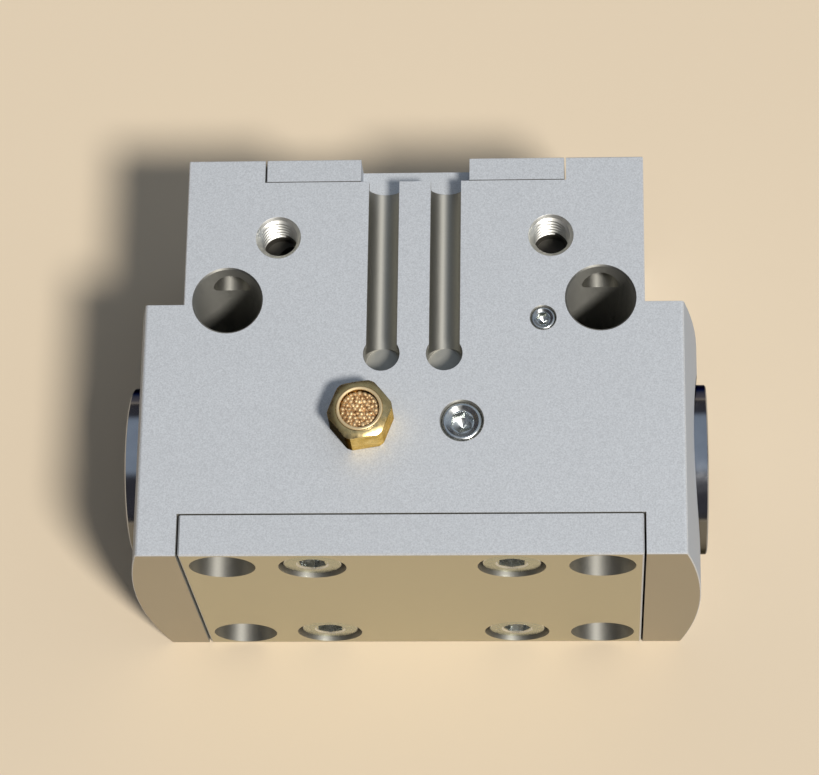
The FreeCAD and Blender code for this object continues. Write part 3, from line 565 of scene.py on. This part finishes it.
def shade(piece, sharp_angle=SHARP_ANGLE):
    """Smooth shading with sharp edges, in which large flat faces stay flat."""
    mesh = piece.data
    mesh.polygons.foreach_set("use_smooth", [True] * len(mesh.polygons))
    mesh.set_sharp_from_angle(angle=math.radians(sharp_angle))
    modifier = piece.modifiers.new("normals", "WEIGHTED_NORMAL")
    modifier.keep_sharp = True
    apply_modifiers(piece)


def mark_faces(piece, name, belongs):
    """Marks some of a piece's faces for its material, by a test of their centres and normals."""
    marks = piece.data.attributes.new(name, "FLOAT", "FACE")
    for face in piece.data.polygons:
        marks.data[face.index].value = 1.0 if belongs(face.center, face.normal) else 0.0


def polar(radius, angle, height):
    """A point at this radius and angle about the z axis."""
    return Vector((radius * math.cos(angle), radius * math.sin(angle), height))


def thread_columns(work, thread, depth, place):
    """Corners up a screw thread, in one column for each step of a turn."""
    core, outer, pitch = thread
    profile = [(share, core / 2 + TAP_OVERSIZE) for share in TAP_CORE]
    profile += [(share, outer / 2) for share in TAP_CREST]
    per_turn = len(profile)
    rows = per_turn * (math.ceil(depth / pitch) + 2) + 1
    columns = []
    for step in range(THREAD_STEPS):
        angle = 2 * math.pi * step / THREAD_STEPS
        column = []
        for row in range(rows):
            share, radius = profile[row % per_turn]
            height = pitch * (row // per_turn + share + step / THREAD_STEPS) - depth
            column.append(work.verts.new(place @ polar(radius, angle, height)))
        columns.append(column)
    return columns


def close_end(work, loop, centre):
    """Closes an end with a fan of triangles round a centre."""
    middle = work.verts.new(centre)
    for corner, following in zip(loop, loop[1:] + loop[:1]):
        work.faces.new((corner, following, middle))


def tap(name, thread, mouth, outward, depth):
    """The shape that a tap cuts: a screw thread that runs from above the mouth down to a depth."""
    pitch = thread[2]
    per_turn = len(TAP_CORE + TAP_CREST)
    place = Matrix.Translation(mouth) @ outward.to_track_quat("Z", "Y").to_matrix().to_4x4()
    work = bmesh.new()
    columns = thread_columns(work, thread, depth, place)
    first, last = columns[0], columns[-1]
    rows = len(first)
    for near, far in zip(columns, columns[1:]):
        for row in range(rows - 1):
            work.faces.new((near[row], far[row], far[row + 1], near[row + 1]))
    for row in range(rows - 1 - per_turn):
        work.faces.new((last[row], first[row + per_turn], first[row + per_turn + 1], last[row + 1]))
    bottom = [column[0] for column in columns] + [first[row] for row in range(per_turn, 0, -1)]
    top = [column[-1] for column in columns] + [last[rows - 1 - row] for row in range(1, per_turn + 1)]
    close_end(work, bottom, place @ Vector((0, 0, -depth - pitch)))
    close_end(work, top, place @ Vector((0, 0, pitch * (rows // per_turn + 1) - depth)))
    bmesh.ops.recalc_face_normals(work, faces=work.faces)
    mesh = bpy.data.meshes.new(name)
    work.to_mesh(mesh)
    work.free()
    return new_piece(name, mesh)


def circle(radius, height):
    """A ring of a spun shape: the same radius and height all round."""
    return lambda angle: (radius, height)


def hexagon_radius(across_flats, angle):
    """How far a hexagon's outline is from its centre, at this angle."""
    sixth = math.pi / 3
    return across_flats / 2 / math.cos(angle % sixth - sixth / 2)


def hexagon(across_flats, height):
    """A ring of a spun shape with six flats."""
    return lambda angle: (hexagon_radius(across_flats, angle), height)


def spun(rings, place, steps=SPUN_STEPS):
    """A closed mesh through rings round the z axis, from a flat first ring to a flat last ring."""
    work = bmesh.new()
    levels = []
    for ring in rings:
        level = []
        for step in range(steps):
            angle = 2 * math.pi * step / steps
            radius, height = ring(angle)
            level.append(work.verts.new(place @ polar(radius, angle, height)))
        levels.append(level)
    for low, high in zip(levels, levels[1:]):
        for step in range(steps):
            after = (step + 1) % steps
            work.faces.new((low[step], low[after], high[after], high[step]))
    work.faces.new(levels[0])
    work.faces.new(levels[-1])
    bmesh.ops.recalc_face_normals(work, faces=work.faces)
    return work


def rounded_edge(radius, height, roundness):
    """Rings that round the upper edge of a head, a plug or a rim."""
    rings = []
    for step in range(EDGE_STEPS + 1):
        angle = math.pi / 2 * step / EDGE_STEPS
        inset = roundness * (1 - math.cos(angle))
        drop = roundness * (1 - math.sin(angle))
        rings.append(circle(radius - inset, height - drop))
    return rings


def screw_rings(shank_r, length, head, mouth_r, mouth_drop, socket, socket_depth):
    """Rings of a screw from its tip to the cone at the bottom of its socket. The top is at height 0."""
    rings = [circle(shank_r - SCREW_TIP, -length), circle(shank_r, -length + SCREW_TIP)] + head
    rings += [circle(mouth_r, 0.0), circle(socket / math.sqrt(3), -mouth_drop), hexagon(socket, -mouth_drop)]
    rings += [hexagon(socket, -socket_depth), circle(CONE_RADIUS * socket, -socket_depth)]
    rings += [circle(CONE_POINT, -socket_depth - CONE_DROP * socket)]
    return rings


def join(name, works):
    """One piece from several bmesh shapes."""
    whole = bpy.data.meshes.new(name)
    joined = bmesh.new()
    for work in works:
        part = bpy.data.meshes.new("part")
        work.to_mesh(part)
        work.free()
        joined.from_mesh(part)
        bpy.data.meshes.remove(part)
    joined.to_mesh(whole)
    joined.free()
    return new_piece(name, whole)


# Housing, covers and jaws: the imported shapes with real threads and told-apart surfaces

def bored_in_housing(centre, normal):
    """Whether a face belongs to a hole, a slot or a recess, and not to the outside or its edges."""
    at_end = centre.y > -EDGE or centre.y < cad_low.y + EDGE
    flat = abs(normal.z) > STRAIGHT and abs(centre.z) > PORT_FACE_Z - SKIN
    on_narrow = centre.y > SHOULDER_Y - EDGE and abs(centre.x) > NARROW_HALF_WIDTH - EDGE
    on_wide = abs(centre.x) > CHEEK_INNER_X and (abs(normal.x) > STRAIGHT or abs(centre.z) > FILLET_Z)
    return not (at_end or flat or on_narrow or on_wide)


def from_port_axis(centre):
    """How far a face is from the axis of the air port on its side."""
    return math.hypot(abs(centre.x) - PORT_PLACE[0], centre.y - PORT_PLACE[1])


def deep_in_port(centre, normal):
    """Whether a face lies below the thread of an air port, where its metal is painted dark as shade."""
    return from_port_axis(centre) < PORT_THREAD[1] / 2 and centre.z < PORT_FACE_Z - PORT_DARK_DEPTH


def tapped_in_port(centre, normal):
    """Whether a face belongs to the thread of an air port or to its countersink."""
    within = from_port_axis(centre) < PORT_MOUTH / 2 and centre.z > PORT_FACE_Z - PORT_DEPTH
    return within and abs(normal.z) < LEVEL


def make_housing():
    """The block, with real threads in its two air ports."""
    housing = welded_copy("housing", "housing_block")
    for side in (-1, 1):
        mouth = Vector((side * PORT_PLACE[0], PORT_PLACE[1], PORT_FACE_Z))
        cut(housing, tap("port_tap", PORT_THREAD, mouth, Vector((0, 0, 1)), PORT_DEPTH))
    shade(housing)
    mark_faces(housing, "bored", bored_in_housing)
    mark_faces(housing, "deep", deep_in_port)
    mark_faces(housing, "tapped", tapped_in_port)
    dress(housing, "housing")


def make_cover(node, name):
    """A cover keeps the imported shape, and its holes are told from its blasted faces."""
    low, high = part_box(node)
    outer_y, inner_y = low.y, high.y
    if node == "base_cover":
        outer_y, inner_y = high.y, high.y - BASE_COVER_THICKNESS

    def bored_in_cover(centre, normal):
        at_side = min(centre.x - low.x, high.x - centre.x, centre.z - low.z, high.z - centre.z) < EDGE
        outer = abs(normal.y) > STRAIGHT and abs(centre.y - outer_y) < SKIN
        in_notch = node == "base_cover" and abs(centre.x) < NOTCH_HALF_WIDTH and centre.z > NOTCH_Z
        return deep_in_seam(centre, normal) or not (at_side or outer or in_notch)

    # Faces of the chamfers along the seam, which are painted dark as the shade in the gap
    def deep_in_seam(centre, normal):
        slanted = max(abs(share) for share in normal) < STRAIGHT
        return slanted and abs(centre.y - inner_y) < EDGE

    cover = new_piece(name, frame["nodes"][node].data.copy())
    mark_faces(cover, "bored", bored_in_cover)
    mark_faces(cover, "deep", deep_in_seam)
    dress(cover, node)


def make_jaw(side, node, name):
    """A round jaw, with two real threads for the finger in its end face."""
    low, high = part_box(node)
    jaw = welded_copy(node, name)
    end = max(abs(low.x), abs(high.x))
    middle_y = (low.y + high.y) / 2
    for offset in (-FINGER_PITCH / 2, FINGER_PITCH / 2):
        mouth = Vector((side * end, middle_y + offset, 0))
        cut(jaw, tap("finger_tap", FINGER_THREAD, mouth, Vector((side, 0, 0)), FINGER_DEPTH))
    shade(jaw)
    dress(jaw, node)


# Fasteners and the breather filter

def upright(x, y, z):
    """A place whose z axis points up."""
    return Matrix.Translation((x, y, z))


def along_y(x, y, z, way):
    """A place whose z axis points along y, up or down it."""
    return Matrix.Translation((x, y, z)) @ Matrix.Rotation(-way * math.pi / 2, 4, "X")


def turned(place, angle):
    """The same place, turned about its own z axis."""
    return place @ Matrix.Rotation(angle, 4, "Z")


def make_plug(node, name, socket, socket_depth, turn):
    """A headless screw in the port face, with a rounded edge and a dished mouth to its socket."""
    low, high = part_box(node)
    radius = (high.x - low.x) / 2
    place = upright((low.x + high.x) / 2, (low.y + high.y) / 2, high.z)
    head = rounded_edge(radius, 0.0, PLUG_ROUNDNESS * radius)
    mouth_r = PLUG_MOUTH * radius
    mouth_drop = PLUG_MOUTH_DROP * radius
    rings = screw_rings(radius, high.z - low.z, head, mouth_r, mouth_drop, socket, socket_depth)
    plug = join(name, [spun(rings, turned(place, math.radians(turn)))])
    shade(plug, TURNED_SHARP_ANGLE)
    dress(plug, node)


def four_screws(rings, corner, head_r, y, way):
    """Four equal screws with their heads in the corners of a box, and each socket at its own angle."""
    shapes = []
    for sx in (-1, 1):
        for sz in (-1, 1):
            place = along_y(sx * (corner.x - head_r), y, sz * (corner.z - head_r), way)
            shapes.append(spun(rings, turned(place, random_state.uniform(0, math.pi / 3))))
    return shapes


def make_plate_screws():
    """The closing plate's socket-head screws."""
    low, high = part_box("closing_plate_screws")
    head_r = 3.5 * MM
    head_height = 2.8 * MM
    shank_r = 1.95 * MM
    head = [circle(shank_r, -head_height), circle(head_r, -head_height)]
    head += rounded_edge(head_r, 0.0, roundness=0.2 * MM)
    rings = screw_rings(shank_r, high.y - low.y, head, mouth_r=1.95 * MM, mouth_drop=0.15 * MM,
                        socket=3.0 * MM, socket_depth=1.6 * MM)
    screws = join("plate_screws", four_screws(rings, high, head_r, low.y, -1))
    shade(screws, TURNED_SHARP_ANGLE)
    dress(screws, "closing_plate_screws")


def make_cover_screws():
    """The base cover's countersunk screws."""
    low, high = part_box("base_cover_screws")
    head_r = 2.65 * MM
    head_height = 1.15 * MM
    shank_r = 1.45 * MM
    cone_inset, cone_drop, top_inset = 0.05 * MM, 0.06 * MM, 0.08 * MM
    head = [circle(shank_r, -head_height), circle(head_r - cone_inset, -cone_drop)]
    head += [circle(head_r - top_inset, 0.0)]
    rings = screw_rings(shank_r, high.y - low.y, head, mouth_r=1.3 * MM, mouth_drop=0.12 * MM,
                        socket=2.0 * MM, socket_depth=1.0 * MM)
    screws = join("cover_screws", four_screws(rings, high, head_r, high.y, 1))
    shade(screws)
    dress(screws, "base_cover_screws")


def filter_side(inset, height):
    """A ring of the filter's hexagon, whose corners are turned off."""
    return lambda angle: (min(hexagon_radius(FILTER_HEX, angle), FILTER_CORNER / 2) - inset, height)


def filter_rings(bottom, top):
    """Rings of the filter body, up its shank and hexagon, over its rim and down into the cup."""
    cup_r = FILTER_CUP / 2

    def chamfer_edge(angle):
        radius = filter_side(0.0, 0.0)(angle)[0]
        return radius, top - FILTER_LEDGE_DROP - (radius - FILTER_LEDGE / 2) * FILTER_CHAMFER_SLOPE

    rings = [circle(FILTER_SHANK_R - FILTER_SHANK_TIP, bottom)]
    rings += [circle(FILTER_SHANK_R, bottom + FILTER_SHANK_TIP), circle(FILTER_SHANK_R, PORT_FACE_Z)]
    rings += [filter_side(FILTER_EDGE, PORT_FACE_Z), filter_side(0.0, PORT_FACE_Z + FILTER_EDGE)]
    rings += [chamfer_edge, circle(FILTER_LEDGE / 2, top - FILTER_LEDGE_DROP)]
    rings += [circle(FILTER_STEP / 2, top - FILTER_STEP_DROP)]
    rings += rounded_edge(FILTER_RIM / 2, top, FILTER_RIM_ROUNDNESS)
    rings += [circle(cup_r + FILTER_EDGE, top - FILTER_EDGE), circle(cup_r, top - 3 * FILTER_EDGE)]
    rings += [circle(cup_r, top - FILTER_CUP_DEPTH)]
    return rings


def make_filter_body():
    """A hexagon with turned corners, a chamfered top, a pale crimped rim and a cup for the disc."""
    low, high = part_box("breather_filter_body")
    cup_low, cup_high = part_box("breather_filter_element")
    centre = (cup_low + cup_high) / 2

    def on_rim(point, normal):
        distance = math.hypot(point.x - centre.x, point.y - centre.y)
        on_top = point.z > high.z - FILTER_STEP_DROP
        return FILTER_CUP / 2 - FILTER_EDGE < distance < FILTER_RIM / 2 and on_top

    place = turned(upright(centre.x, centre.y, 0.0), FILTER_TURN)
    body = join("filter_body", [spun(filter_rings(low.z, high.z), place, FILTER_STEPS)])
    shade(body, TURNED_SHARP_ANGLE)
    mark_faces(body, "rim", on_rim)
    dress(body, "breather_filter_body")


def grain_layer(work, centre, radius, height, offset):
    """One layer of grains on a loose triangular grid, pressed together at the edge of a circle."""
    span = math.ceil(radius / GRAIN_SPACING) + 1
    for row in range(-span, span + 1):
        for column in range(-span, span + 1):
            x = (column + row % 2 / 2 + offset) * GRAIN_SPACING + random_state.gauss(0, GRAIN_SCATTER)
            y = row * GRAIN_SPACING * GRAIN_ROW_SHARE + random_state.gauss(0, GRAIN_SCATTER)
            size = GRAIN_DIAMETER / 2 * random_state.uniform(*GRAIN_SIZES)
            sunk = random_state.uniform(0, GRAIN_SUNK)
            distance = math.hypot(x, y)
            room = radius - size
            if distance > room + GRAIN_OVERHANG * GRAIN_SPACING:
                continue
            pull = min(1.0, room / max(distance, SKIN))
            place = upright(centre.x + x * pull, centre.y + y * pull, height - size - sunk)
            place = turned(place, random_state.uniform(0, math.pi))
            place = place @ Matrix.Diagonal((random_state.uniform(GRAIN_FLATTEST, 1.0), 1.0, 1.0, 1.0))
            bmesh.ops.create_icosphere(work, subdivisions=GRAIN_SUBDIVISIONS, radius=size, matrix=place)


def make_filter_element():
    """The sintered disc: two layers of grains on a solid bed."""
    low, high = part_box("breather_filter_element")
    centre = (low + high) / 2
    radius = (high.x - low.x) / 2
    top = high.z
    bed = [circle(radius, low.z), circle(radius, top - GRAIN_BED_DROP)]
    shape = spun(bed, upright(centre.x, centre.y, 0.0))
    grain_layer(shape, centre, radius, top, 0.0)
    grain_layer(shape, centre, radius, top - GRAIN_LAYER_DROP, GRAIN_LAYER_OFFSET)
    element = join("filter_element", [shape])
    shade(element, GRAIN_SHARP_ANGLE)
    dress(element, "breather_filter_element")


# The pieces

for name, node in frame["nodes"].items():
    node.data.materials[0] = materials[slot_of[name]]

make_housing()
make_cover("base_cover", "cover_plate")
make_cover("closing_plate", "end_plate")
make_jaw(1, "jaw_right", "round_jaw_right")
make_jaw(-1, "jaw_left", "round_jaw_left")
make_plug("chamber_plug", "port_plug", socket=2.5 * MM, socket_depth=2.0 * MM, turn=20)
make_plug("passage_set_screw", "drilling_screw", socket=1.5 * MM, socket_depth=1.2 * MM, turn=6)
make_plate_screws()
make_cover_screws()
make_filter_body()
make_filter_element()


# Stage

def make_floor():
    """A plain pale table under the part."""
    bpy.ops.mesh.primitive_plane_add(size=2 * FLOOR_HALF_WIDTH, location=(0, 0, cad_low.z))
    floor = bpy.context.object
    floor.name = "floor"
    material, shader = new_material("pale_table", FLOOR_COLOUR, 0.0, FLOOR_ROUGHNESS)
    shader.inputs["Specular IOR Level"].default_value = FLOOR_SHEEN
    floor.data.materials.append(material)


def make_key_lamp():
    """One soft lamp from above the working end, on the right."""
    lamp = bpy.data.lights.new("key", "SUN")
    lamp.energy = KEY_STRENGTH
    lamp.angle = KEY_WIDTH
    lamp.color = KEY_COLOUR
    key = bpy.data.objects.new("key", lamp)
    key.rotation_mode = "QUATERNION"
    key.rotation_quaternion = KEY_DIRECTION.to_track_quat("Z", "Y")
    scene.collection.objects.link(key)


def sky_side(world, direction):
    """From 0 to 1 across a soft edge, on the side of the sky that a direction points to."""
    side = add_node(world, "VectorMath", operation="DOT_PRODUCT")
    side.inputs[1].default_value = direction
    feed(world, add_node(world, "TexCoord").outputs["Generated"], side.inputs[0])
    ramp = add_node(world, "MapRange", interpolation_type="SMOOTHSTEP",
                    from_min=-SKY_EDGE_SOFTNESS, from_max=SKY_EDGE_SOFTNESS)
    feed(world, side.outputs["Value"], ramp.inputs["Value"])
    return ramp.outputs["Result"]


def make_sky():
    """A sky that is light overhead, and dark low down on the left, before and behind the part."""
    world = bpy.data.worlds.new("studio")
    scene.world = world
    world.use_nodes = True
    sky = world.node_tree.nodes["Background"]
    share = sky_side(world, (math.sin(SKY_LEFT_EDGE), 0.0, math.cos(SKY_LEFT_EDGE)))
    for direction in ((0.0, -math.sin(SKY_BACK_EDGE), math.cos(SKY_BACK_EDGE)),
                      (0.0, math.sin(SKY_FRONT_EDGE), -math.cos(SKY_FRONT_EDGE))):
        both = add_node(world, "Math", operation="MULTIPLY")
        feed(world, share, both.inputs[0])
        feed(world, sky_side(world, direction), both.inputs[1])
        share = both.outputs["Value"]
    feed(world, mix(world, share, SKY_DARK, SKY_LIGHT), sky.inputs["Color"])


def make_camera():
    """The camera, placed by its way round the part, its height and its roll."""
    lens = bpy.data.cameras.new("camera")
    lens.lens = CAMERA_LENS
    lens.sensor_width = CAMERA_SENSOR
    lens.clip_start = CAMERA_NEAREST
    lens.clip_end = CAMERA_FURTHEST
    camera = bpy.data.objects.new("camera", lens)
    azimuth = math.radians(CAMERA_AZIMUTH)
    elevation = math.radians(CAMERA_ELEVATION)
    across = math.cos(elevation)
    back = Vector((math.sin(azimuth) * across, -math.cos(azimuth) * across, math.sin(elevation)))
    roll = Matrix.Rotation(math.radians(CAMERA_ROLL), 3, "Z")
    turn = (-back).to_track_quat("-Z", "Y").to_matrix() @ roll
    camera.matrix_world = Matrix.Translation(CAMERA_TARGET + back * CAMERA_DISTANCE) @ turn.to_4x4()
    scene.collection.objects.link(camera)
    scene.camera = camera


make_floor()
make_key_lamp()
make_sky()
make_camera()
scene.view_settings.view_transform = "Standard"
